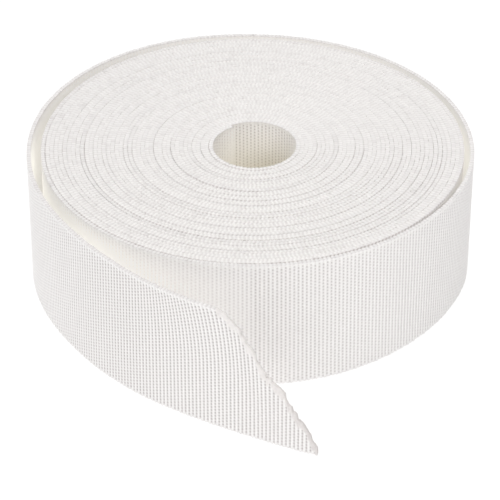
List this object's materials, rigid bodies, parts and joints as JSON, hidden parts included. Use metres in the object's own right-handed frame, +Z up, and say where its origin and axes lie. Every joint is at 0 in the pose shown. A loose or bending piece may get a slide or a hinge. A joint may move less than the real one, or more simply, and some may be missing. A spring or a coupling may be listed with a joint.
{
  "type": "roll of nylon webbing",
  "caption": "Flat-lying roll of off-white ribbed nylon webbing wound round an open hole, its last turn sprung loose into a free end with a slanted cut.",
  "frame": {"origin": "middle of the whole roll and its free end, on the surface that it lies on", "axes": "+Z up along the axis of the roll; -Y towards the side where the free end stands out; +X to the right seen from there"},
  "size_m": [0.124, 0.1512, 0.038],
  "materials": {
    "nylon_webbing": "matt woven nylon with a slight sheen",
    "nylon_webbing_loose": "matt woven nylon with a slight sheen, heat-sealed at the cut"
  },
  "bodies": {
    "root": {"wound_roll": "nylon_webbing", "loose_end": "nylon_webbing_loose"}
  },
  "joints": []
}
